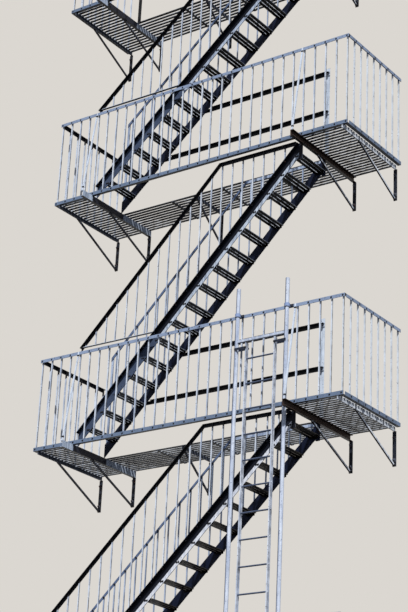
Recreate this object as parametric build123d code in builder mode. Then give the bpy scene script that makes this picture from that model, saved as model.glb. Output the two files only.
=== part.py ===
"""Outside fire escape: four railed balconies on a wall, three steep flights and a drop ladder.

X runs along the wall, Y into the wall, Z up, in millimetres. The wall's face is Y = 0 and the whole
stair stands in front of it, at Y below 0. The origin is on the back face of the leg of the lowest
balcony's left bracket, half way up the leg.
"""
from build123d import *
from math import floor, sqrt
import os

os.makedirs("parts", exist_ok=True)

# Storeys, from the lowest up: how many rises each flight has, and how high they are
storey_rises = (18, 17, 16)
rises = (197.5, 195.3, 181)

# Balcony plan
platform_length = 4400
platform_depth = 1250
end_bay = 625
header_overhang = 180
bracket_inset = 75

# Balcony floor: flat bars along the wall, tied by battens below
slat_width = 36
slat_thick = 8
slat_pitch = 60
slat_end_gap = 14
batten_width = 38
batten_thick = 8
batten_spacing = 780
tie_width = 12
panel_gap = 1

# Header channels at the two ends of the stair opening
header_height = 80
header_flange = 40
header_wall = 7

# Wall brackets
bracket_bar_height = 45
bracket_bar_thick = 12
bracket_drop = 460
leg_width = 45
leg_thick = 10
strut_size = 20
strut_reach = 880
walkway_bracket = 1150
walkway_strut_reach = 570

# Railings
rail_height = 1180
angle_leg = 45
angle_thick = 6
top_leg = 40
baluster = 16
baluster_pitch = 150
brace_width = 20
brace_thick = 12

# Guard between walkway and stair opening
guard_rail_height = 45
guard_rail_thick = 8
guard_rail_top = 38
guard_low_level = 640
guard_post = 50
guard_post_thick = 6
guard_post_rise = 60

# Flights
stair_clear_width = 500
stair_front_gap = 100
string_depth = 123
string_thick = 8
string_flange = 52
string_lift = 27
end_plate_width = 50
end_plate_drop = 260
tread_bar = 45
tread_bars = 3
tread_bar_gap = 9
tread_thick = 8
cleat_length = 110
cleat_height = 25
cleat_thick = 5
lowest_foot = 160
foot_before_header = 42
handrail_rise = 1260
handrail_leg = 35
handrail_thick = 5
handrail_return_drop = 40
stair_baluster = 14
stair_baluster_pitch = 150
panel_bar_level = 1255
newel_width = 30

# Drop ladder and its guides
guide_inset = 100
guide_spacing = 670
guide_stand_off = 50
pipe_diameter = 48
pipe_bore = 40
guide_top = 1490
guide_bottom = 150
ladder_width = 400
ladder_string_thick = 12
ladder_top = 800
ladder_bottom = 150
rung_diameter = 19
rung_pitch = 300
top_rung = 607
stop_bar_gap = 20
stop_bar = 30
arm_height = 25
arm_thick = 8
arm_level = 740
arm_tip = 12
arm_clearance = 0.5
clamp_height = 40
clamp_width = 110
clamp_plate = 8
clamp_wall = 8
gap_clear = 540

# Levels of the balcony floors
levels = [slat_thick + bracket_drop / 2]
for count, rise in zip(storey_rises, rises):
    levels.append(levels[-1] + count * rise)
storey = max(levels[k + 1] - levels[k] for k in range(len(rises)))

# Lines across the balcony, in plan
left = -bracket_inset
right = left + platform_length
header_left = left + end_bay
header_right = right - end_bay
opening_right = header_right - header_flange
front = -platform_depth
slat_seat = -slat_thick
slats = round((platform_depth - angle_leg) / slat_pitch)
slat_spacing = (platform_depth - angle_leg) / slats
slat_gap = slat_spacing - slat_width
baluster_y = front + angle_thick + baluster
first_baluster = left + (platform_length - baluster_pitch
                         * floor((platform_length - 3 * baluster) / baluster_pitch)) / 2
front_balusters = floor((platform_length - 3 * baluster) / baluster_pitch) + 1
end_balusters = floor((platform_depth - 3 * baluster) / baluster_pitch)

# Lines of the flights
near_web = front + stair_front_gap
far_web = near_web + stair_clear_width
tread_depth = tread_bars * tread_bar + (tread_bars - 1) * tread_bar_gap
last_tread = opening_right - tread_depth / 2
near_baluster_y = near_web - string_flange / 2
far_baluster_y = far_web + string_flange / 2
baluster_bite = handrail_thick / 2

# Each flight ends with a tread against the upper header. Its treads' line starts at its foot: the
# lowest flight stands on the left bay's floor, the others start from the left header
feet = [left + lowest_foot] + [header_left - foot_before_header] * (len(rises) - 1)
goings = [(last_tread - foot) / (count - 1) for foot, count in zip(feet, storey_rises)]
slopes = [rise / going for rise, going in zip(rises, goings)]

# The walkway is as wide as whole slats make it, behind the far string
walkway_slats = floor((-far_web - string_flange + slat_gap / 2) / slat_spacing)
walkway_edge = slat_gap / 2 - walkway_slats * slat_spacing

# Guides and ladder, in plan
pipe_y = front - guide_stand_off
guide_xs = (header_right - guide_inset - guide_spacing, header_right - guide_inset)
ladder_x = sum(guide_xs) / 2
ladder_string_width = pipe_diameter + 2 * arm_clearance


def save(name, solid):
    """Label one node and write it."""
    solid.label = name
    export_step(solid, f"parts/{name}.step")


def bar(x, y, z, mode=Mode.ADD):
    """Rectangular bar in the current part, between two values on each axis."""
    bars([x], [y], [z], mode)


def bars(xs, ys, zs, mode=Mode.ADD):
    """Like bars, one at each place where the ranges on the three axes meet."""
    size = [ranges[0][1] - ranges[0][0] for ranges in (xs, ys, zs)]
    corners = [(x[0], y[0], z[0]) for x in xs for y in ys for z in zs]
    with Locations(*corners):
        Box(*size, align=(Align.MIN, Align.MIN, Align.MIN), mode=mode)


def around(centre, width):
    """The range of a width about its centre."""
    return (centre - width / 2, centre + width / 2)


def angle_section(u, v, leg, turn_u, turn_v):
    """Corner points of an angle iron's section, with its heel at (u, v)."""
    return [
        (u, v), (u + turn_u * leg, v), (u + turn_u * leg, v + turn_v * angle_thick),
        (u + turn_u * angle_thick, v + turn_v * angle_thick),
        (u + turn_u * angle_thick, v + turn_v * leg), (u, v + turn_v * leg),
    ]


def strut_outline(foot, seat, reach):
    """Slanting strut from the leg's foot out to the underside of what it carries."""
    run = reach - leg_thick
    fall = seat - foot - strut_size
    length = sqrt(fall ** 2 + run ** 2)
    tall = strut_size * length / run
    wide = strut_size * length / fall
    return [(-leg_thick, foot), (-leg_thick, foot + tall), (-reach + wide, seat), (-reach, seat)]


def string_edges(slope):
    """Lift of a string's top and bottom edge above the line of its treads."""
    half = string_depth / 2 * sqrt(1 + slope ** 2)
    return string_lift + half, string_lift - half


def spread(start, end, spacing):
    """Evenly spaced places between two ends, no further apart than the spacing."""
    spaces = int((end - start) / spacing) + 1
    return [start + (end - start) * i / spaces for i in range(1, spaces)]


# Balconies
for k, level in enumerate(levels):
    name = f"balcony_{k + 1}_"
    has_opening = k > 0
    seat = level + slat_seat

    # Header channels from the wall to beyond the railing, with their webs towards the opening
    with BuildPart() as headers:
        with BuildSketch(Plane.XZ):
            with Locations((header_left - header_flange, seat), (opening_right, seat)):
                Rectangle(header_flange, header_height, align=(Align.MIN, Align.MAX))
            with Locations((header_left - header_flange - header_wall, seat - header_wall),
                           (opening_right + header_wall, seat - header_wall)):
                Rectangle(header_flange, header_height - 2 * header_wall,
                          align=(Align.MIN, Align.MAX), mode=Mode.SUBTRACT)
        extrude(amount=platform_depth + header_overhang)
    save(name + "headers", headers.part)

    # Floor gratings: the two end bays at full depth, and the walkway along the wall between them.
    # The end bays' slats lie on header and bracket, tied by a strip beside the bracket's bar
    slat_end = angle_leg + slat_end_gap
    tie_start = bracket_inset + bracket_bar_thick / 2
    panels = (
        ((left + slat_end, header_left - header_flange / 2 - panel_gap), slats,
         [(left + tie_start, left + tie_start + tie_width)]),
        ((header_right - header_flange / 2 + panel_gap, right - slat_end), slats,
         [(right - tie_start - tie_width, right - tie_start)]),
        ((header_left - header_flange / 2 + panel_gap,
          header_right - header_flange / 2 - panel_gap), walkway_slats if has_opening else slats,
         [around(x, batten_width) for x in spread(header_left, opening_right, batten_spacing)]),
    )
    with BuildPart() as grating:
        for x, count, battens in panels:
            y_slats = [(-slat_gap / 2 - i * slat_spacing - slat_width,
                        -slat_gap / 2 - i * slat_spacing) for i in range(count)]
            bars([x], y_slats, [(seat, level)])
            bars(battens, [(y_slats[-1][0], y_slats[0][1])], [(seat - batten_thick, seat)])
    save(name + "grating", grating.part)

    # Front railing: bottom angle on the headers and brackets, square balusters, top angle
    with BuildPart() as front_railing:
        with BuildSketch(Plane.YZ.offset(left)):
            for z, leg, turn in ((seat, angle_leg, 1), (level + rail_height, top_leg, -1)):
                with BuildLine():
                    Polyline(*angle_section(front, z, leg, 1, turn), close=True)
                make_face()
        extrude(amount=platform_length)
        bars([around(first_baluster + i * baluster_pitch, baluster)
              for i in range(front_balusters)],
             [around(baluster_y, baluster)], [(seat, level + rail_height)])
        if not has_opening:
            bar(around(ladder_x, gap_clear), (front, front + angle_leg),
                (seat + angle_leg, level + rail_height), mode=Mode.SUBTRACT)
    save(name + "front_railing", front_railing.part)

    # End railings, from the front railing back to the wall
    with BuildPart() as end_railings:
        for x, turn in ((left, 1), (right, -1)):
            for z, leg, up in ((seat, angle_leg, 1), (level + rail_height, top_leg, -1)):
                with BuildSketch(Plane.XZ):
                    with BuildLine():
                        Polyline(*angle_section(x, z, leg, turn, up), close=True)
                    make_face()
                extrude(amount=platform_depth - leg)
            bars([around(x + turn * (angle_thick + baluster), baluster)],
                 [around(baluster_y + i * baluster_pitch, baluster)
                  for i in range(1, end_balusters + 1)],
                 [(seat, level + rail_height)])
    save(name + "end_railings", end_railings.part)

    # Wall brackets under the ends, the headers and the walkway, and the railing's outside braces
    bracket_foot = seat - bracket_drop
    bracket_places = (
        (left + bracket_inset, strut_reach, front + angle_thick),
        (right - bracket_inset, strut_reach, front + angle_thick),
        (header_left + walkway_bracket, walkway_strut_reach, walkway_edge),
        (header_left - header_flange / 2, strut_reach, None),
        (header_right - header_flange / 2, strut_reach, None),
    )
    tip = front - header_overhang
    brace_length = sqrt(rail_height ** 2 + header_overhang ** 2)
    with BuildPart() as brackets:
        for x, reach, bar_end in bracket_places:
            strut_seat = seat - (bracket_bar_height if bar_end else header_height)
            bar(around(x, leg_width), (-leg_thick, 0), (bracket_foot, strut_seat))
            with BuildSketch(Plane.YZ.offset(x - strut_size / 2)):
                with BuildLine():
                    Polyline(*strut_outline(bracket_foot, strut_seat, reach), close=True)
                make_face()
            extrude(amount=strut_size)
            if bar_end:
                bar(around(x, bracket_bar_thick), (bar_end, 0), (strut_seat, seat))
            else:
                with BuildSketch(Plane.YZ.offset(x - brace_width / 2)):
                    with BuildLine():
                        Polyline(
                            (tip, seat), (tip + brace_thick * brace_length / rail_height, seat),
                            (front, level + rail_height
                             - brace_thick * brace_length / header_overhang),
                            (front, level + rail_height), close=True,
                        )
                    make_face()
                extrude(amount=brace_width)
    save(name + "brackets", brackets.part)

    # Guard along the walkway: two angle rails, from the stair or a left post to the right post.
    # Their tops turn towards the opening, as far as they clear the next flight's string
    if has_opening:
        post_right = opening_right
        rail_y = (far_web + string_flange, far_web + string_flange + guard_rail_thick)
        is_top = level == levels[-1]
        with BuildPart() as guard:
            for height in (guard_low_level, rail_height):
                x_start = header_left
                x_clear = header_left
                if not is_top:
                    above, below = string_edges(slopes[k])
                    x_start = feet[k] + (height - guard_rail_height / 2 - above) / slopes[k]
                    x_clear = feet[k] + (height - below) / slopes[k]
                bar((x_start, post_right), rail_y,
                    (level + height - guard_rail_height, level + height))
                bar((x_clear, post_right), (rail_y[0] - guard_rail_top, rail_y[0]),
                    (level + height - guard_rail_thick, level + height))
            posts = [post_right - guard_post] + ([header_left] if is_top else [])
            for x in posts:
                bar((x, x + guard_post), (rail_y[1], rail_y[1] + guard_post_thick),
                    (level, level + rail_height + guard_post_rise))
                bar((x, x + guard_post_thick), (rail_y[1], rail_y[1] + guard_post),
                    (level, level + rail_height + guard_post_rise))
        save(name + "walkway_guard", guard.part)


# Flights
for k, foot in enumerate(feet):
    name = f"flight_{k + 1}_"
    base = levels[k]
    upper = levels[k + 1]
    slope = slopes[k]
    slant = sqrt(1 + slope ** 2)
    string_top, string_under = string_edges(slope)
    lands_on_floor = k == 0
    x_low = foot - tread_depth / 2 if lands_on_floor else header_left
    z_low = base if lands_on_floor else base - storey
    z_high = upper + slat_seat
    beyond = storey * 2

    def line_z(x, lift):
        """Height of a line parallel to this flight, lifted above the line of its treads."""
        return base + (x - foot) * slope + lift

    # Strings: a flat web with an outward flange on top, joined to the upper header by an end plate
    with BuildPart() as strings:
        for web, outward in ((near_web, -1), (far_web, 1)):
            for low, width, x_high in (
                    (string_under, string_thick, opening_right),
                    (string_top - string_thick * slant, string_flange,
                     opening_right - end_plate_width)):
                with BuildSketch(Plane.XZ.offset(-web)):
                    with BuildLine():
                        Polyline(
                            (foot - beyond, line_z(foot - beyond, low)),
                            (foot + beyond, line_z(foot + beyond, low)),
                            (foot + beyond, line_z(foot + beyond, string_top)),
                            (foot - beyond, line_z(foot - beyond, string_top)),
                            close=True,
                        )
                    make_face()
                    with Locations((x_low, z_low)):
                        Rectangle(x_high - x_low, z_high - z_low,
                                  align=(Align.MIN, Align.MIN), mode=Mode.INTERSECT)
                    if width == string_thick:
                        with Locations((opening_right, z_high)):
                            Rectangle(end_plate_width, end_plate_drop + slat_seat,
                                      align=(Align.MAX, Align.MAX))
                extrude(amount=-outward * width)
    save(name + "strings", strings.part)

    # Treads: flat bars across the flight on a cleat at each string
    with BuildPart() as treads:
        places = [(foot + step * goings[k], base + step * rises[k])
                  for step in range(1, storey_rises[k])]
        with Locations(*[(x + (i - (tread_bars - 1) / 2) * (tread_bar + tread_bar_gap), near_web,
                          z - tread_thick) for x, z in places for i in range(tread_bars)]):
            Box(tread_bar, stair_clear_width, tread_thick,
                align=(Align.CENTER, Align.MIN, Align.MIN))
        with Locations(*[(x, y, z - tread_thick) for x, z in places
                         for y in (near_web, far_web - cleat_thick)]):
            Box(cleat_length, cleat_thick, cleat_height,
                align=(Align.CENTER, Align.MIN, Align.MAX))
    save(name + "treads", treads.part)

    # Stair railings
    z_return = upper - handrail_return_drop
    x_bend = foot + (z_return - base - handrail_rise) / slope
    x_end = foot + (z_return - handrail_leg - base - string_top) / slope
    z_cut = z_return - baluster_bite
    x_cross = foot + (z_cut - base - string_top) / slope
    z_panel = base + panel_bar_level
    x_panel = foot + (z_panel - base - handrail_rise) / slope
    x_meet = foot + (z_panel - base - string_top) / slope
    for side in ("near", "far"):
        is_near = side == "near"
        y_mid = near_baluster_y if is_near else far_baluster_y
        outward = -1 if is_near else 1
        x_start = x_panel if is_near else x_low
        z_start = line_z(x_start, handrail_rise)
        with BuildPart() as railing:
            # Balusters, cut to the slope of the string below and the handrail above
            first = x_start + stair_baluster_pitch / 2
            count = floor((x_end - stair_baluster / 2 - first) / stair_baluster_pitch) + 1
            with BuildSketch(Plane.XZ.offset(-y_mid)):
                with Locations(*[(first + i * stair_baluster_pitch, base) for i in range(count)]):
                    Rectangle(stair_baluster, 2 * beyond)
                if not is_near:
                    with Locations((x_start, base)):
                        Rectangle(newel_width, 2 * beyond, align=(Align.MIN, Align.CENTER))
                with BuildLine():
                    if is_near:
                        Polyline(
                            (x_start, z_panel), (x_meet, z_panel),
                            (x_cross, z_cut), (x_bend, z_cut), close=True,
                        )
                    else:
                        Polyline(
                            (x_start, line_z(x_start, string_top)),
                            (x_cross, z_cut), (x_bend, z_cut),
                            (x_start, z_start - baluster_bite * slant), close=True,
                        )
                make_face(mode=Mode.INTERSECT)
            extrude(amount=stair_baluster / 2, both=True)
            # Handrail: an angle along the slope, then level to the header
            y_leg = y_mid - outward * stair_baluster / 2
            for drop, depth in ((handrail_leg, handrail_thick), (handrail_thick, handrail_leg)):
                with BuildSketch(Plane.XZ.offset(-y_leg)):
                    with BuildLine():
                        Polyline(
                            (x_start, z_start), (x_bend, z_return), (x_end, z_return),
                            (x_end, z_return - drop), (x_bend, z_return - drop),
                            (x_start, z_start - drop * slant), close=True,
                        )
                    make_face()
                extrude(amount=(-outward if depth == handrail_leg else outward) * depth)
            if is_near:
                bar((x_start, x_meet - handrail_thick / slope),
                    sorted((y_leg, y_leg + outward * handrail_leg)),
                    (z_panel - handrail_thick, z_panel))
        save(name + side + "_railing", railing.part)

# Ladder guides: two pipes in front of the railings
a_level = levels[1]
z_level = levels[0]
with BuildPart() as guide_pipes:
    for x in guide_xs:
        with BuildSketch(Plane.XY.offset(z_level - guide_bottom)):
            with Locations((x, pipe_y)):
                Circle(pipe_diameter / 2)
                Circle(pipe_bore / 2, mode=Mode.SUBTRACT)
        extrude(amount=a_level + guide_top - z_level + guide_bottom)
save("ladder_guide_pipes", guide_pipes.part)

# Stop bar between the pipes, just above the raised ladder
with BuildPart() as ladder_stop:
    z_stop = a_level + ladder_top + stop_bar_gap
    bar((guide_xs[0], guide_xs[1]), (pipe_y - stop_bar / 2, pipe_y + stop_bar / 2),
        (z_stop, z_stop + stop_bar))
    with Locations(*[(x, pipe_y, z_stop) for x in guide_xs]):
        Cylinder(pipe_diameter / 2, 3 * stop_bar, mode=Mode.SUBTRACT)
save("ladder_stop_bar", ladder_stop.part)

# Clamps that hold the pipes on the railings
with BuildPart() as clamps:
    tops = [z_level + slat_seat + angle_leg / 2, z_level + rail_height - top_leg / 2,
            a_level + rail_height - top_leg / 2]
    for z in tops:
        for x in guide_xs:
            z_range = (z - clamp_height / 2, z + clamp_height / 2)
            bar((x - clamp_width / 2, x + clamp_width / 2), (front - clamp_plate, front), z_range)
            bar((x - pipe_bore / 2, x + pipe_bore / 2), (pipe_y, front - clamp_plate), z_range)
            with BuildSketch(Plane.XY.offset(z_range[0])):
                with Locations((x, pipe_y)):
                    Circle(pipe_diameter / 2 + clamp_wall)
            extrude(amount=clamp_height)
            with Locations((x, pipe_y, z)):
                Cylinder(pipe_diameter / 2, 2 * clamp_height, mode=Mode.SUBTRACT)
save("ladder_guide_clamps", clamps.part)

# Drop ladder: two flat strings and round rungs, raised
ladder_span = (ladder_x - ladder_width / 2, ladder_x + ladder_width / 2)
z_foot = z_level - ladder_bottom
z_top = a_level + ladder_top
rungs = floor((a_level + top_rung - z_foot) / rung_pitch)
with BuildPart() as drop_ladder:
    for x in (ladder_span[0], ladder_span[1] - ladder_string_thick):
        bar((x, x + ladder_string_thick),
            (pipe_y - ladder_string_width / 2, pipe_y + ladder_string_width / 2), (z_foot, z_top))
    with BuildSketch(Plane.YZ.offset(ladder_span[0] + ladder_string_thick / 2)):
        with Locations(*[(pipe_y, a_level + top_rung - i * rung_pitch) for i in range(rungs)]):
            Circle(rung_diameter / 2)
    extrude(amount=ladder_width - ladder_string_thick)
save("drop_ladder", drop_ladder.part)

# Arms at the ladder's head, in front of and behind each guide pipe
with BuildPart() as ladder_arms:
    z_arm = a_level + arm_level
    for y in (pipe_y - ladder_string_width / 2 - arm_thick, pipe_y + ladder_string_width / 2):
        for inner, outer in ((ladder_span[0] + ladder_string_thick, guide_xs[0]),
                             (ladder_span[1] - ladder_string_thick, guide_xs[1])):
            reach = outer + arm_tip if outer > inner else outer - arm_tip
            bar(sorted((inner, reach)), (y, y + arm_thick),
                (z_arm - arm_height / 2, z_arm + arm_height / 2))
save("drop_ladder_arms", ladder_arms.part)
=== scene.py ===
"""Outside fire escape in a plain studio: weathered enamel, rivets, nuts and bolts on the CAD model.

The script follows the stair as it is put up, from its brackets to the drop ladder, and then sets the
floor, the light and the camera. Metres, X along the balconies, Y from their front to their back, Z up.
"""
import math

import bpy
from mathutils import Matrix, Vector


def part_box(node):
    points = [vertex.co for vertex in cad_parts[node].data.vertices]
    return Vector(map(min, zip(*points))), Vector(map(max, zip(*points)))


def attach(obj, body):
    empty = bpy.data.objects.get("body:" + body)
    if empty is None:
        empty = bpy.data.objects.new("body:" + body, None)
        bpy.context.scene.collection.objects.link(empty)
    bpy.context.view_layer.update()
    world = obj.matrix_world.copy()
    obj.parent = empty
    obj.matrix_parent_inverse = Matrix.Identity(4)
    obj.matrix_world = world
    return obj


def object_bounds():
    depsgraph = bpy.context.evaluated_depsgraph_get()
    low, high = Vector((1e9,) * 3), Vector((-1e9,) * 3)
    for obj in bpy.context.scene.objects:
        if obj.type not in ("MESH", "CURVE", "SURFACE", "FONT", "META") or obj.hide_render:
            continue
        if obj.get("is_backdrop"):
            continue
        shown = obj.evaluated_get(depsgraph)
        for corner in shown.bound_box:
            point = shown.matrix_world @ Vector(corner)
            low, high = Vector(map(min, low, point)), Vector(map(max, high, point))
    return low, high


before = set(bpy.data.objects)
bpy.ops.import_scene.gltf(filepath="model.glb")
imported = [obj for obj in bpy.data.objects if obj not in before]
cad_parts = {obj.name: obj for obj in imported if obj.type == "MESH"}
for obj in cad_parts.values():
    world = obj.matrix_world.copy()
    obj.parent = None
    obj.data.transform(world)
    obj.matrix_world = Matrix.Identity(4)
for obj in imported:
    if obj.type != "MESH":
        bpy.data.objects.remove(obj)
cad_low, cad_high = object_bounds()


# Headers and brackets
# Rolled channels, bars and square struts of mild steel, riveted together and bolted up by their legs.
# Brushed with black oil enamel, many coats thick: where sun and rain reach it has a matt blue-grey
# bloom in run-off streaks, and where they don't it is half-glossy black under brown soot. The bloom
# faces the lamp's way, so it is also painted light, and the black is also painted shade.
def linear(colour):
    """Shader colour of an sRGB hex value."""
    parts = [int(colour[start:start + 2], 16) / 255 for start in (1, 3, 5)]
    return [p / 12.92 if p <= 0.04045 else ((p + 0.055) / 1.055) ** 2.4 for p in parts] + [1]


def add(tree, kind, sockets, **settings):
    """One shader node, with its settings, values and links."""
    node = tree.nodes.new(kind)
    for name, value in settings.items():
        setattr(node, name, value)
    for name, value in sockets.items():
        if isinstance(value, bpy.types.NodeSocket):
            tree.links.new(value, node.inputs[name])
        else:
            node.inputs[name].default_value = value
    return node


ALONG_X, ALONG_Y, ALONG_Z = (1, 0, 0), (0, 1, 0), (0, 0, 1)
FORWARD, DOWN = (0, -1, 0), (0, 0, -1)


def oil_enamel(name, bloom_and_light, streaked, sheltered_and_shade, rust, rust_share,
               weather_and_lamp_side=(0.58, -0.80, 0.12), bloom_and_light_from=0.12, gloss=0.2, bands=()):
    """Brushed oil enamel on steel, bloomed on the faces that look towards the weather.

    The bloom faces the lamp's way, so it is partly painted light, and the sheltered colour is partly
    painted shade. A band is a stretch of the piece, measured along a direction, whose outer faces have
    a colour of their own; most bands here are painted light or painted shade, such as a web painted
    black where its flange would shade it.
    """
    patch_size, chip_size, scab_size, brush_mark = 0.120, 0.014, 0.045, 0.008
    streak_wide, streak_long = 0.025, 0.400
    lee_share, patch_swing, fade, scab_edge = 0.17, 0.45, 0.3, 0.06
    material = bpy.data.materials.new(name)
    material.use_nodes = True
    tree = material.node_tree
    tree.nodes.clear()
    place = add(tree, "ShaderNodeTexCoord", {})
    spot = place.outputs["Object"]
    # The weather direction is also the lamp's side: faces towards it get the bloom as painted light,
    # faces turned away get the sheltered black as painted shade
    facing = add(tree, "ShaderNodeVectorMath", {0: place.outputs["Normal"], 1: weather_and_lamp_side},
                 operation="DOT_PRODUCT")
    # The back and the tops bloom too, but only in patches
    lee = [(bloom_and_light_from + lee_share) * part for part in (-0.9, 1, 0.6)]
    turned_away = add(tree, "ShaderNodeVectorMath", {0: place.outputs["Normal"], 1: lee},
                      operation="DOT_PRODUCT")
    turned = add(tree, "ShaderNodeMath",
                 {0: facing.outputs["Value"], 1: turned_away.outputs["Value"]}, operation="MAXIMUM")
    # Patches of 120 mm, where the coat has held longer or less long
    patches = add(tree, "ShaderNodeTexNoise",
                  {"Vector": spot, "Scale": 1 / patch_size, "Detail": 6, "Roughness": 0.65})
    swing = add(tree, "ShaderNodeMath",
                {0: patches.outputs["Fac"], 1: patch_swing, 2: -patch_swing / 2},
                operation="MULTIPLY_ADD")
    reach = add(tree, "ShaderNodeMath", {0: turned.outputs[0], 1: swing.outputs[0]},
                operation="ADD")
    bloomed_and_lit = add(tree, "ShaderNodeMapRange",
                  {"Value": reach.outputs[0], "From Min": bloom_and_light_from, "From Max": bloom_and_light_from + fade},
                  interpolation_type="SMOOTHSTEP")
    # Run-off streaks, 25 mm wide and 400 mm long, drawn coarse so that they show
    stretched = add(tree, "ShaderNodeMapping",
                    {"Vector": spot, "Scale": (1 / streak_wide, 1 / streak_wide, 1 / streak_long)})
    streaks = add(tree, "ShaderNodeTexNoise",
                  {"Vector": stretched.outputs[0], "Scale": 1, "Detail": 4, "Roughness": 0.6})
    streak = add(tree, "ShaderNodeMapRange",
                 {"Value": streaks.outputs["Fac"], "From Min": 0.42, "From Max": 0.70})
    outer = add(tree, "ShaderNodeMix", {0: streak.outputs[0], 6: linear(bloom_and_light), 7: linear(streaked)},
                data_type="RGBA")
    for direction, start, end, colour in bands:
        along = add(tree, "ShaderNodeVectorMath", {0: spot, 1: direction}, operation="DOT_PRODUCT")
        inside = add(tree, "ShaderNodeMath",
                     {0: along.outputs["Value"], 1: (start + end) / 2, 2: (end - start) / 2},
                     operation="COMPARE")
        outer = add(tree, "ShaderNodeMix",
                    {0: inside.outputs[0], 6: outer.outputs[2], 7: linear(colour)},
                    data_type="RGBA")
    # Chips of 14 mm, where the bloom has flaked down to the black
    chips = add(tree, "ShaderNodeTexNoise",
                {"Vector": spot, "Scale": 1 / chip_size, "Detail": 2, "Roughness": 0.5})
    flaked = add(tree, "ShaderNodeMapRange",
                 {"Value": chips.outputs["Fac"], "From Min": 0.64, "From Max": 0.68,
                  "To Min": 1, "To Max": 0.25})
    covered = add(tree, "ShaderNodeMath", {0: bloomed_and_lit.outputs[0], 1: flaked.outputs[0]},
                  operation="MULTIPLY")
    coat = add(tree, "ShaderNodeMix",
               {0: covered.outputs[0], 6: linear(sheltered_and_shade), 7: outer.outputs[2]},
               data_type="RGBA")
    # Soot lies in the same patches as the worn coat
    soot = add(tree, "ShaderNodeMapRange",
               {"Value": patches.outputs["Fac"], "From Min": 0.3, "From Max": 0.7,
                "To Min": 0.80, "To Max": 1.06})
    sooted = add(tree, "ShaderNodeVectorMath", {0: coat.outputs[2], "Scale": soot.outputs[0]},
                 operation="SCALE")
    # Rust breaks out in spots of 45 mm with ragged edges
    scabs = add(tree, "ShaderNodeTexNoise",
                {"Vector": spot, "Scale": 1 / scab_size, "Detail": 9, "Roughness": 0.72})
    scab = add(tree, "ShaderNodeMapRange",
               {"Value": scabs.outputs["Fac"], "From Min": 0.68 - rust_share,
                "From Max": 0.68 + scab_edge - rust_share})
    colour = add(tree, "ShaderNodeMix",
                 {0: scab.outputs[0], 6: sooted.outputs[0], 7: linear(rust)}, data_type="RGBA")
    # The black is half glossy, the bloom matt and the rust rough
    shine = add(tree, "ShaderNodeMapRange",
                {"Value": covered.outputs[0], "To Min": 0.36, "To Max": 0.55})
    rough = add(tree, "ShaderNodeMath",
                {0: scab.outputs[0], 1: 0.35, 2: shine.outputs[0]}, operation="MULTIPLY_ADD",
                use_clamp=True)
    # Brush marks and scale, 8 mm apart, drawn coarse so that they show
    grain = add(tree, "ShaderNodeTexNoise",
                {"Vector": spot, "Scale": 1 / brush_mark, "Detail": 3, "Roughness": 0.5})
    relief = add(tree, "ShaderNodeMath", {0: scab.outputs[0], 1: grain.outputs["Fac"]},
                 operation="ADD")
    bump = add(tree, "ShaderNodeBump",
               {"Strength": 0.35, "Distance": 0.0015, "Height": relief.outputs[0]})
    paint = add(tree, "ShaderNodeBsdfPrincipled",
                {"Base Color": colour.outputs[2], "Roughness": rough.outputs[0], "IOR": 1.48,
                 "Specular IOR Level": gloss, "Normal": bump.outputs[0]})
    add(tree, "ShaderNodeOutputMaterial", {"Surface": paint.outputs[0]})
    return material


def dress(node, material):
    """Gives a CAD node's object its finish."""
    for slot in bpy.data.objects[node].material_slots:
        slot.material = material


# The headers' tips are pale. Under the floor their webs are painted dark, painted shade, by the
# walkway they are painted paler, painted sunlight through it, and the right header is painted dark
# brown, painted shade
balconies = range(1, 5)
header_flange, header_tip, back = 0.040, 0.015, 0
rail_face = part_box("balcony_1_front_railing")[0][1]
walkway_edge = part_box("balcony_2_grating")[0][1] / 2
far_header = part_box("balcony_1_headers")[1][0] - header_flange
header_enamel = oil_enamel(
    "header_oil_enamel", "#C3D0E2", "#76849A", "#17120F", "#4A2A1C", 0.05,
    bands=[(ALONG_Y, rail_face + header_tip, back, "#20232F"),
           (ALONG_Y, walkway_edge, back, "#A7B2C3"),
           (ALONG_X, far_header, cad_high[0], "#43352F")])
# Struts at the left are painted dark, painted shade, the outside braces above the floor painted pale,
# painted sunlight, and the legs painted dark, painted shade
leg_thick, leg_spare, shaded_end = 0.010, 0.003, 0.4 * cad_high[0]
for k in balconies:
    dress(f"balcony_{k}_headers", header_enamel)
    floor_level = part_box(f"balcony_{k}_headers")[1][2]
    bracket_enamel = oil_enamel(
        f"bracket_oil_enamel_{k}", "#EEF3FA", "#8E99AC", "#1C1414", "#4A2A1C", 0.05,
        weather_and_lamp_side=(0.70, -0.60, 0.50),
        bands=[(ALONG_X, cad_low[0], shaded_end, "#4A505E"),
               (ALONG_Z, floor_level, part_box(f"balcony_{k}_brackets")[1][2], "#D3DDEC"),
               (ALONG_Y, -leg_thick - leg_spare, back, "#252934")])
    dress(f"balcony_{k}_brackets", bracket_enamel)


def start_mesh(operator, **settings):
    """A primitive on its own, with nothing else selected."""
    bpy.ops.object.select_all(action="DESELECT")
    operator(**settings)
    return bpy.context.object


def rivet(radius, height):
    """A hammered round head, standing on z = 0."""
    head = start_mesh(bpy.ops.mesh.primitive_uv_sphere_add, segments=8, ring_count=6, radius=radius)
    bpy.ops.object.mode_set(mode="EDIT")
    bpy.ops.mesh.select_all(action="SELECT")
    bpy.ops.mesh.bisect(plane_co=(0, 0, 0), plane_no=(0, 0, 1), clear_inner=True, use_fill=True)
    bpy.ops.mesh.select_all(action="SELECT")
    bpy.ops.transform.resize(value=(1, 1, height / radius), center_override=(0, 0, 0))
    bpy.ops.object.mode_set(mode="OBJECT")
    return head


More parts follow.
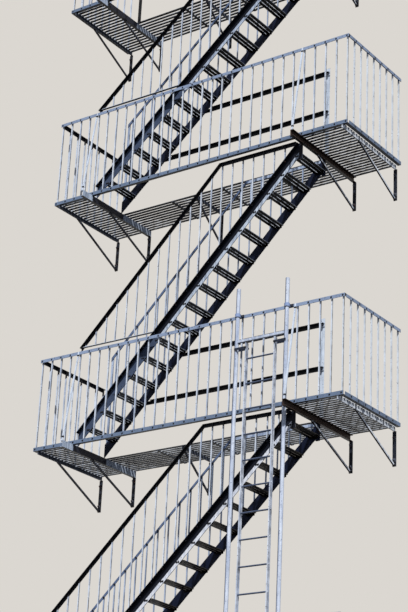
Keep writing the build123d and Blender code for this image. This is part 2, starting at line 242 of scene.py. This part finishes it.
def fasten(name, master, places, material, body="fire_escape"):
    """Copies of one fastener, each with its own mesh, joined as one piece.

    A place is the point that a fastener stands on and the direction in which it stands out.
    """
    copies = []
    for point, out in places:
        each = master.copy()
        each.data = master.data.copy()
        turn = Vector(ALONG_Z).rotation_difference(Vector(out)).to_matrix().to_4x4()
        each.data.transform(Matrix.Translation(point) @ turn)
        bpy.context.collection.objects.link(each)
        copies.append(each)
    bpy.ops.object.select_all(action="DESELECT")
    for each in copies:
        each.select_set(True)
    bpy.context.view_layer.objects.active = copies[0]
    bpy.ops.object.join()
    piece = bpy.context.object
    piece.name = name
    piece.data.materials.clear()
    piece.data.materials.append(material)
    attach(piece, body)


# Rivet heads are painted near black, painted shade for the shadows they cast, so they show as dots on
# the bloomed bars
rivet_enamel = oil_enamel(
    "rivet_oil_enamel", "#1A1C22", "#131419", "#0B0B0E", "#4A2A1C", 0.05)
frame_rivet = rivet(0.012, 0.006)
leg_half, walkway_bracket, bar_tall = 0.0225, 1.150, 0.045
strut_half, strut_reach, strut_foot, strut_foot_rise = 0.010, 0.880, 0.024, 0.014
strut_tip, strut_tip_drop = 0.052, 0.012
brace_half, brace_middle, brace_end = 0.010, 0.006, 0.050
bracket_places = {}
for k in balconies:
    low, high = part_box(f"balcony_{k}_brackets")
    header_low, header_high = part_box(f"balcony_{k}_headers")
    ends = (low[0] + leg_half, high[0] - leg_half)
    under_headers = (header_low[0] + header_flange / 2, header_high[0] - header_flange / 2)
    bracket_places[k] = (*ends, *under_headers, header_low[0] + header_flange + walkway_bracket)
    places = []
    # The strut's ends, riveted at the leg and under the bar or the header
    for x in bracket_places[k]:
        for side in (-1, 1):
            places.append(((x + side * strut_half, -strut_foot, low[2] + strut_foot_rise),
                           (side, 0, 0)))
    under_bar, under_header = header_high[2] - bar_tall, header_low[2]
    for x, seat in zip((*ends, *under_headers), (under_bar, under_bar, under_header, under_header)):
        for side in (-1, 1):
            places.append(((x + side * strut_half, strut_tip - strut_reach, seat - strut_tip_drop),
                           (side, 0, 0)))
    # The outside braces, riveted at the header's tip and at the top rail
    foot = Vector((0, header_low[1], header_high[2]))
    head = Vector((0, rail_face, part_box(f"balcony_{k}_front_railing")[1][2]))
    up = (head - foot).normalized()
    out = (0, -up.z, up.y)
    for x in under_headers:
        for end in (foot + brace_end * up, head - brace_end * up):
            places.append(((x, end.y, end.z), out))
            for side in (-1, 1):
                places.append(((x + side * brace_half, end.y + brace_middle, end.z), (side, 0, 0)))
    fasten(f"balcony_{k}_bracket_rivets", frame_rivet, places, rivet_enamel)


# Leg bolts
# Two through bolts hold each bracket's leg: a square plate washer, a hexagon nut and the bolt's end.
# Wrought iron under the same brushed enamel, which rust has lifted, so they are brown and rough.
def through_bolt():
    """Nut and plate washer on a bolt's end, standing on z = 0."""
    washer, thick, washer_edge = 0.042, 0.005, 0.001
    nut, nut_high, nut_edge, end, end_high = 0.016, 0.014, 0.0015, 0.009, 0.012
    bolt = start_mesh(bpy.ops.mesh.primitive_cube_add, size=1)
    bpy.ops.object.mode_set(mode="EDIT")
    bpy.ops.mesh.select_all(action="SELECT")
    bpy.ops.transform.resize(value=(washer, washer, thick), center_override=(0, 0, 0))
    bpy.ops.transform.translate(value=(0, 0, thick / 2))
    bpy.ops.mesh.bevel(offset=washer_edge, segments=1)
    bpy.ops.mesh.select_all(action="DESELECT")
    bpy.ops.mesh.primitive_cylinder_add(vertices=6, radius=nut, depth=nut_high,
                                        location=(0, 0, thick + nut_high / 2))
    bpy.ops.mesh.bevel(offset=nut_edge, segments=1)
    bpy.ops.mesh.select_all(action="DESELECT")
    bpy.ops.mesh.primitive_cylinder_add(vertices=10, radius=end, depth=end_high,
                                        location=(0, 0, thick + nut_high + end_high / 2))
    bpy.ops.object.mode_set(mode="OBJECT")
    return bolt


bolt_enamel = oil_enamel(
    "rust_lifted_bolt_enamel", "#5B616E", "#3A3A40", "#221A18", "#5A3019", 0.14)
leg_bolt = through_bolt()
bolt_rises = (0.075, 0.335)
for k in balconies:
    leg_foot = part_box(f"balcony_{k}_brackets")[0][2]
    places = [((x, -leg_thick, leg_foot + rise), FORWARD)
              for x in bracket_places[k] for rise in bolt_rises]
    fasten(f"balcony_{k}_wall_bolts", leg_bolt, places, bolt_enamel)
bpy.data.objects.remove(leg_bolt)


# Gratings
# Flat mild steel bars laid open and riveted to battens, ties and headers. Feet keep the tops scuffed.
# The undersides are painted brown-black, soot and painted shade, and the bars' edges on the lamp's
# side are painted pale, painted highlights.
grating_enamel = oil_enamel(
    "scuffed_and_lit_grating_enamel", "#DDE3EC", "#9AA2AF", "#0C0908", "#4A2918", 0.07,
    weather_and_lamp_side=(0.90, -0.36, 0.10), bloom_and_light_from=0.20, gloss=0.06)
slat_rivet = rivet(0.007, 0.003)
slat_width, slat_pitch, slat_end = 0.036, 0.060, 0.010
tie_inset, batten_thick, flange_thick, batten_spaces = 0.087, 0.008, 0.007, 4
for k in balconies:
    dress(f"balcony_{k}_grating", grating_enamel)
    low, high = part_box(f"balcony_{k}_grating")
    header_low, header_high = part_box(f"balcony_{k}_headers")
    rail_low, rail_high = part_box(f"balcony_{k}_front_railing")
    slats = round((high[1] - low[1]) / slat_pitch)
    spacing = (high[1] - low[1] - slat_width) / (slats - 1)
    walkway_slats = slats if k == 1 else slats // 2 - 1
    seats = (header_low[0] + header_flange / 2, header_high[0] - header_flange / 2)
    webs = (header_low[0] + header_flange, header_high[0] - header_flange)
    battens = [webs[0] + (webs[1] - webs[0]) * i / batten_spaces for i in range(1, batten_spaces)]
    ties = [rail_low[0] + tie_inset, rail_high[0] - tie_inset]
    bay_ends = [seats[0] - slat_end, seats[1] + slat_end]
    walkway_ends = [seats[0] + slat_end, seats[1] - slat_end]
    places = []
    for i in range(slats):
        y = high[1] - slat_width / 2 - i * spacing
        in_walkway = i < walkway_slats
        for x in ties + bay_ends + (walkway_ends + battens if in_walkway else []):
            places.append(((x, y, high[2]), ALONG_Z))
        for x in ties + (battens if in_walkway else []):
            places.append(((x, y, header_high[2] - batten_thick), DOWN))
        for x in bay_ends:
            places.append(((x, y, header_high[2] - flange_thick), DOWN))
    fasten(f"balcony_{k}_slat_rivets", slat_rivet, places, rivet_enamel)
bpy.data.objects.remove(slat_rivet)


# Railings
# Square bars between two angle irons, each bar held by a rivet through the angle. This is the weather
# side: brushed enamel bloomed almost to silver blue, which is also painted light; the right end is
# painted paler, painted sunlight, both angles painted a duller blue, a painted reflection of the sky,
# and the end angle's inner corner painted black, painted shade.
rail_leg, base_leg, sunny_end = 0.040, 0.045, 4.15
for k in balconies:
    low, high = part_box(f"balcony_{k}_front_railing")
    # The right end band is painted sunlight, the two angle bands a painted sky reflection
    bands = [(ALONG_X, sunny_end, high[0], "#E3EAF3"),
             (ALONG_Z, low[2], low[2] + base_leg, "#74859F"),
             (ALONG_Z, high[2] - rail_leg, high[2], "#94A4C0")]
    front_enamel = oil_enamel(
        f"railing_oil_enamel_{k}", "#E9F0FB", "#AFBED8", "#101117", "#4A3328", 0.02,
        weather_and_lamp_side=(0.25, -0.85, 0.12), bands=bands)
    dress(f"balcony_{k}_front_railing", front_enamel)
    # The left end's top angle is seen from inside, where it is painted black, painted shade
    inner_corner = high[2] - rail_leg - low[0] - 2 * rail_leg
    end_enamel = oil_enamel(
        f"end_railing_oil_enamel_{k}", "#E9F0FB", "#AFBED8", "#101117", "#4A3328", 0.02,
        weather_and_lamp_side=(0.36, -0.85, 0.12),
        bands=bands + [((-1, 0, 1), inner_corner, high[2] - low[0], "#1A1C24")])
    dress(f"balcony_{k}_end_railings", end_enamel)

# A rivet at each bar, except where a brace, a pipe's clamp or the ladder's gap is in its place
pitch, corner_space, first_bar, last_bar, side_bars = 0.150, 0.050, 0.022, 0.020, 8
brace_clear, clamp_half, gap_half, pipe_radius = 0.022, 0.066, 0.285, 0.024
pipe_low, pipe_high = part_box("ladder_guide_pipes")
pipes = (pipe_low[0] + pipe_radius, pipe_high[0] - pipe_radius)
ladder_middle = sum(pipes) / 2
for k in balconies:
    low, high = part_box(f"balcony_{k}_front_railing")
    left, right, front = low[0], high[0], low[1]
    side_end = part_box(f"balcony_{k}_end_railings")[1][1] - last_bar
    bars = round((right - left - 2 * corner_space) / pitch) + 1
    first = (left + right - (bars - 1) * pitch) / 2
    places = []
    for z, is_top in ((low[2] + base_leg / 2, False), (high[2] - rail_leg / 2, True)):
        in_the_way = [(x, brace_clear) for x in bracket_places[k][2:4]] if is_top else []
        in_the_way += [(x, clamp_half) for x in pipes] if k == 1 or k == 2 and is_top else []
        in_the_way += [(ladder_middle, gap_half)] if k == 1 and is_top else []
        for i in range(bars):
            x = first + i * pitch
            if any(abs(x - middle) < half for middle, half in in_the_way):
                continue
            places.append(((x, front, z), FORWARD))
            if is_top:
                places.append(((x, front + first_bar, high[2]), ALONG_Z))
        for i in range(1, side_bars):
            y = front + first_bar + i * pitch
            if y < side_end:
                places.append(((left, y, z), (-1, 0, 0)))
                places.append(((right, y, z), ALONG_X))
    fasten(f"balcony_{k}_rail_rivets", frame_rivet, places, rivet_enamel)


# Walkway guards
# Two angle rails bolted to an angle post, between the walkway and the stair opening. The rails are
# painted black, painted shade under the next flight, while the post stands in the sun and is bloomed
# all over, partly painted light.
post_face = 3.609
guard_enamel = oil_enamel(
    "guard_oil_enamel", "#DCE6F3", "#99A7BC", "#0F1015", "#3E2A22", 0.03,
    bands=[(ALONG_X, cad_low[0], post_face, "#17181D")])


def hexagon_bolt():
    """A bolt's hexagon head with its rounded corners, standing on z = 0."""
    radius, high, edge = 0.0098, 0.0070, 0.0012
    bolt = start_mesh(bpy.ops.mesh.primitive_cylinder_add, vertices=6, radius=radius, depth=high,
                      location=(0, 0, high / 2))
    bpy.ops.object.transform_apply()
    bpy.ops.object.mode_set(mode="EDIT")
    bpy.ops.mesh.select_all(action="SELECT")
    bpy.ops.mesh.bevel(offset=edge, segments=1)
    bpy.ops.object.mode_set(mode="OBJECT")
    return bolt


frame_bolt = hexagon_bolt()
guard_rises, guard_middle, guard_edge, guard_flange = (0.640, 1.180), 0.0265, 0.025, 0.038
for k in balconies[1:]:
    dress(f"balcony_{k}_walkway_guard", guard_enamel)
    low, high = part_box(f"balcony_{k}_walkway_guard")
    floor_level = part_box(f"balcony_{k}_grating")[1][2]
    posts = [high[0] - guard_edge] + ([low[0] + guard_edge] if k == 4 else [])
    places = [((x, low[1] + guard_flange, floor_level + rise - guard_middle), FORWARD)
              for x in posts for rise in guard_rises]
    fasten(f"balcony_{k}_guard_bolts", frame_bolt, places, bolt_enamel)


# Flights
# Strings of flat bar with a turned-out top flange, treads of three flat bars on cleats, and railing
# panels whose bars are cut to the slope. The web's upper half is painted black, the flange's painted
# shadow, the far string is painted dark, the flight's own painted shade, and the treads' edges on the
# lamp's side are painted pale, painted highlights.
string_rivet = rivet(0.013, 0.007)
tread_blooms_and_lit_edges = {1: ("#6F6A65", "#3A3632"), 2: ("#EDF1F8", "#8C93A0"), 3: ("#EDF1F8", "#8C93A0")}
string_blooms_and_light = {1: ("#F2F4FA", "#C3CADA"), 2: ("#D0DBEA", "#8A97AB"), 3: ("#C3CFE2", "#7A879E")}
rises = {1: 0.1975, 2: 0.1953, 3: 0.181}
tread_depth, cleat_middle, rivet_apart = 0.153, 0.0205, 0.025
string_lift, string_depth, web, far_side = 0.027, 0.123, 0.008, -0.75
flange_shadow_from, flange_shadow_to, shaded_top_end, end_bolt_in, end_bolt_drops = 0.30, 1.1, 0.050, 0.022, (0.022, 0.062)
handrail_rise, handrail_tall, handrail_spare = 1.260, 0.055, 0.002
bar_radius, bar_from_web, rail_from_web, highest_nut, highest_rivet = 0.007, 0.026, 0.014, 0.15, 0.02
for k, rise in rises.items():
    low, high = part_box(f"flight_{k}_treads")
    steps = round((high[2] - low[2]) / rise) + 1
    going = (high[0] - low[0] - tread_depth) / (steps - 1)
    slope = rise / going
    slant = math.sqrt(1 + slope ** 2)
    treads_line = high[2] - slope * (high[0] - tread_depth / 2)
    uphill = (-slope, 0, 1)
    near_y, far_y = low[1], high[1]
    string_low, string_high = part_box(f"flight_{k}_strings")
    web_middle = treads_line + string_lift
    web_half = string_depth / 2 * slant
    # The web is painted black for its flange's shadow and for the shade at its top end, and at the
    # foot it is painted mid blue-grey, painted sunlight crossed by the railing's shadows
    flange_shadow_band = (uphill, web_middle - flange_shadow_from * web_half, web_middle + flange_shadow_to * web_half, "#1B1E28")
    sunlit_foot_band = (ALONG_Z, string_low[2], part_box(f"balcony_{k}_front_railing")[1][2], "#4A566E")
    # The treads' edges on the lamp's side are painted pale, painted highlights, and their undersides
    # black, soot and painted shade
    tread_enamel = oil_enamel(
        f"sooty_shaded_tread_enamel_{k}", *tread_blooms_and_lit_edges[k], "#0D0A09", "#43291C", 0.06,
        weather_and_lamp_side=(0.95, -0.25, 0.05), bloom_and_light_from=0.30, gloss=0.06)
    # The string's bloom is partly painted light; the far string is painted dark blue, painted shade
    string_enamel = oil_enamel(
        f"string_oil_enamel_{k}", *string_blooms_and_light[k], "#0E1018", "#3E2A22", 0.03,
        weather_and_lamp_side=(0.2, -0.95, 0.05), gloss=0.1,
        bands=[flange_shadow_band, sunlit_foot_band,
               (ALONG_X, string_high[0] - shaded_top_end, string_high[0], "#1B1E28"),
               (ALONG_Y, far_side, back, "#151C31")])
    # The near handrail and its level top are painted black, painted shade, and the far railing is
    # painted duller with a darker handrail, painted shade
    handrail_top = treads_line + handrail_rise
    handrail = (uphill, handrail_top - handrail_tall, handrail_top + handrail_spare)
    level_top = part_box(f"flight_{k}_near_railing")[1][2]
    near_enamel = oil_enamel(
        f"near_railing_oil_enamel_{k}", "#E9F0FB", "#ABBAD4", "#0F1015", "#43302A", 0.02,
        weather_and_lamp_side=(0.25, -0.85, 0.12),
        bands=[(*handrail, "#1A1C23"), (ALONG_Z, level_top - handrail_tall, level_top, "#20232B")])
    far_enamel = oil_enamel(
        f"far_railing_oil_enamel_{k}", "#BECCE4", "#7486A6", "#0F1015", "#43302A", 0.02,
        weather_and_lamp_side=(0.28, -0.85, 0.12), bands=[(*handrail, "#617293")])
    dress(f"flight_{k}_strings", string_enamel)
    dress(f"flight_{k}_treads", tread_enamel)
    dress(f"flight_{k}_near_railing", near_enamel)
    dress(f"flight_{k}_far_railing", far_enamel)

    # Each cleat's two rivets through the web, and the string's two bolts at the upper header
    places = []
    for i in range(steps):
        x = low[0] + tread_depth / 2 + i * going
        z = high[2] - (steps - 1 - i) * rise - cleat_middle
        for shift in (-rivet_apart / 2, rivet_apart / 2):
            places.append(((x + shift, near_y - web, z), FORWARD))
            places.append(((x + shift, far_y + web, z), ALONG_Y))
    fasten(f"flight_{k}_string_rivets", string_rivet, places, rivet_enamel)
    places = [((string_high[0] - end_bolt_in, y, string_high[2] - drop), out)
              for y, out in ((near_y - web, FORWARD), (far_y + web, ALONG_Y))
              for drop in end_bolt_drops]
    fasten(f"flight_{k}_end_bolts", frame_bolt, places, bolt_enamel)

    # Each baluster's nut under the string's flange and its rivet in the handrail
    flange_lift = string_lift + web_half - web * slant
    off_flange = (slope / slant, 0, -1 / slant)
    nuts, heads = [], []
    for name, side, out in (("near_railing", near_y, -1), ("far_railing", far_y, 1)):
        rail_low, rail_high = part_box(f"flight_{k}_{name}")
        first = rail_low[0] + pitch / 2
        count = int((rail_high[0] - bar_radius - first) / pitch) + 1
        for i in range(count):
            x = first + i * pitch
            foot_z = treads_line + slope * x + flange_lift
            head_z = treads_line + slope * x + handrail_rise - handrail_tall / 2
            if foot_z < rail_high[2] - highest_nut:
                nuts.append(((x, side + out * bar_from_web, foot_z), off_flange))
            if head_z < rail_high[2] - highest_rivet:
                heads.append(((x, side + out * rail_from_web, head_z), (0, -out, 0)))
    fasten(f"flight_{k}_baluster_nuts", frame_bolt, nuts, bolt_enamel)
    fasten(f"flight_{k}_handrail_rivets", frame_rivet, heads, rivet_enamel)


# Drop ladder and its guides
# Steel pipes clamped to the railings, and a bar ladder with riveted rungs that slides between them.
# This enamel is painted palest of all, partly painted highlights on the pipes and bars, and its shade
# side is painted pale too, painted light.
clamp_reach, clamp_plate, side_bar = 0.044, 0.008, 0.012
collar_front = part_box("ladder_guide_clamps")[0][1]
ladder_low, ladder_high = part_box("drop_ladder")
# The rungs between the side bars are darker, where boots wear them
rungs_part = (ALONG_X, ladder_low[0] + side_bar, ladder_high[0] - side_bar, "#525D74")
guide_enamel = oil_enamel(
    "guide_oil_enamel", "#D9E1F0", "#A3B0CA", "#55637F", "#5A4234", 0.0,
    weather_and_lamp_side=(0.95, -0.45, 0.10))
ladder_enamel = oil_enamel(
    "ladder_oil_enamel", "#EAF0FB", "#A6B6D2", "#343A4A", "#5A4234", 0.0,
    weather_and_lamp_side=(0.30, -0.85, 0.12), bands=[rungs_part])
# Clamps and arms stay dark; on the clamps' plates that is the pipes' painted shadow, and the clamps'
# collars are painted pale like the pipes, painted highlights
clamp_enamel = oil_enamel(
    "clamp_oil_enamel", "#2A3244", "#161B27", "#0C0D12", "#4A2A1C", 0.03,
    bands=[(ALONG_Y, collar_front, rail_face - 2 * clamp_plate, "#93A6CD")])
arm_enamel = oil_enamel(
    "arm_oil_enamel", "#2A3244", "#161B27", "#0C0D12", "#4A2A1C", 0.03)
dress("ladder_guide_pipes", guide_enamel)
dress("ladder_stop_bar", guide_enamel)
dress("ladder_guide_clamps", clamp_enamel)
dress("drop_ladder", ladder_enamel)
dress("drop_ladder_arms", arm_enamel)

places = []
for k, is_top in ((1, False), (1, True), (2, True)):
    low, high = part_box(f"balcony_{k}_front_railing")
    z = high[2] - rail_leg / 2 if is_top else low[2] + base_leg / 2
    for x in pipes:
        for side in (-clamp_reach, clamp_reach):
            places.append(((x + side, low[1] - clamp_plate, z), FORWARD))
fasten("ladder_clamp_bolts", frame_bolt, places, bolt_enamel)

arm_low, arm_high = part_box("drop_ladder_arms")
arm_level = (arm_low[2] + arm_high[2]) / 2
places = [((x, y, arm_level), out)
          for x in (ladder_low[0] + side_bar / 2, ladder_high[0] - side_bar / 2)
          for y, out in ((arm_low[1], FORWARD), (arm_high[1], ALONG_Y))]
fasten("drop_ladder_arm_rivets", frame_rivet, places, rivet_enamel, "drop_ladder")

rung_pitch, top_rung, rung_y = 0.300, 0.193, (ladder_low[1] + ladder_high[1]) / 2
rung_head = rivet(0.0095, 0.003)
rungs = int((ladder_high[2] - top_rung - ladder_low[2]) / rung_pitch)
places = [((x, rung_y, ladder_high[2] - top_rung - i * rung_pitch), (out, 0, 0))
          for x, out in ((ladder_low[0], -1), (ladder_high[0], 1)) for i in range(rungs)]
fasten("drop_ladder_rung_ends", rung_head, places, ladder_enamel, "drop_ladder")
for master in (rung_head, frame_rivet, string_rivet, frame_bolt):
    bpy.data.objects.remove(master)


# Studio
# A pale card floor under the lowered ladder and an even pale background. The card throws little light
# up at the stair, and one soft lamp stands high on the right.
def seen_directly(tree):
    """1 for what the eye, a reflection or clear glass sees, 0 for light on the object."""
    ray = add(tree, "ShaderNodeLightPath", {})
    seen = add(tree, "ShaderNodeMath",
               {0: ray.outputs["Is Camera Ray"], 1: ray.outputs["Is Glossy Ray"]},
               operation="MAXIMUM")
    shown = add(tree, "ShaderNodeMath",
                {0: seen.outputs[0], 1: ray.outputs["Is Transmission Ray"]}, operation="MAXIMUM")
    return shown.outputs[0]


floor_wide, floor_middle = 120, (2.1, -0.6, -3.05)
floor = start_mesh(bpy.ops.mesh.primitive_plane_add, size=floor_wide, location=floor_middle)
floor.name = "studio_floor"
card = bpy.data.materials.new("pale_card")
card.use_nodes = True
card_tree = card.node_tree
card_tree.nodes.clear()
tone = add(card_tree, "ShaderNodeMix",
           {0: seen_directly(card_tree), 6: linear("#55565A"), 7: linear("#B1AFAB")},
           data_type="RGBA")
sheet = add(card_tree, "ShaderNodeBsdfPrincipled",
            {"Base Color": tone.outputs[2], "Roughness": 0.9})
add(card_tree, "ShaderNodeOutputMaterial", {"Surface": sheet.outputs[0]})
floor.data.materials.append(card)
floor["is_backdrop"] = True

world = bpy.data.worlds.new("studio")
bpy.context.scene.world = world
world.use_nodes = True
room = world.node_tree
room.nodes.clear()
fill = add(room, "ShaderNodeBackground", {"Color": linear("#D3E0F5"), "Strength": 0.30})
backdrop = add(room, "ShaderNodeBackground", {"Color": linear("#DBD7D1"), "Strength": 1})
mixed = add(room, "ShaderNodeMixShader",
            {0: seen_directly(room), 1: fill.outputs[0], 2: backdrop.outputs[0]})
add(room, "ShaderNodeOutputWorld", {"Surface": mixed.outputs[0]})

towards_lamp = Vector((0.85, -1.1, 2.0))
lamp_data = bpy.data.lights.new("key", "SUN")
lamp_data.energy = 4.8
lamp_data.angle = math.radians(1.2)
lamp = bpy.data.objects.new("key", lamp_data)
lamp.rotation_mode = "QUATERNION"
lamp.rotation_quaternion = towards_lamp.to_track_quat("Z", "Y")
bpy.context.collection.objects.link(lamp)

camera_data = bpy.data.cameras.new("camera")
camera_data.sensor_width = 36
camera_data.lens = 101.23
camera_data.clip_end = 200
camera = bpy.data.objects.new("camera", camera_data)
camera.location = (13.4784, -16.2011, -2.4959)
camera.rotation_euler = [math.radians(a) for a in (112.4993, -2.6171, 35.4449)]
bpy.context.collection.objects.link(camera)
bpy.context.scene.camera = camera
bpy.context.scene.view_settings.view_transform = "Standard"

low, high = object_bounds()
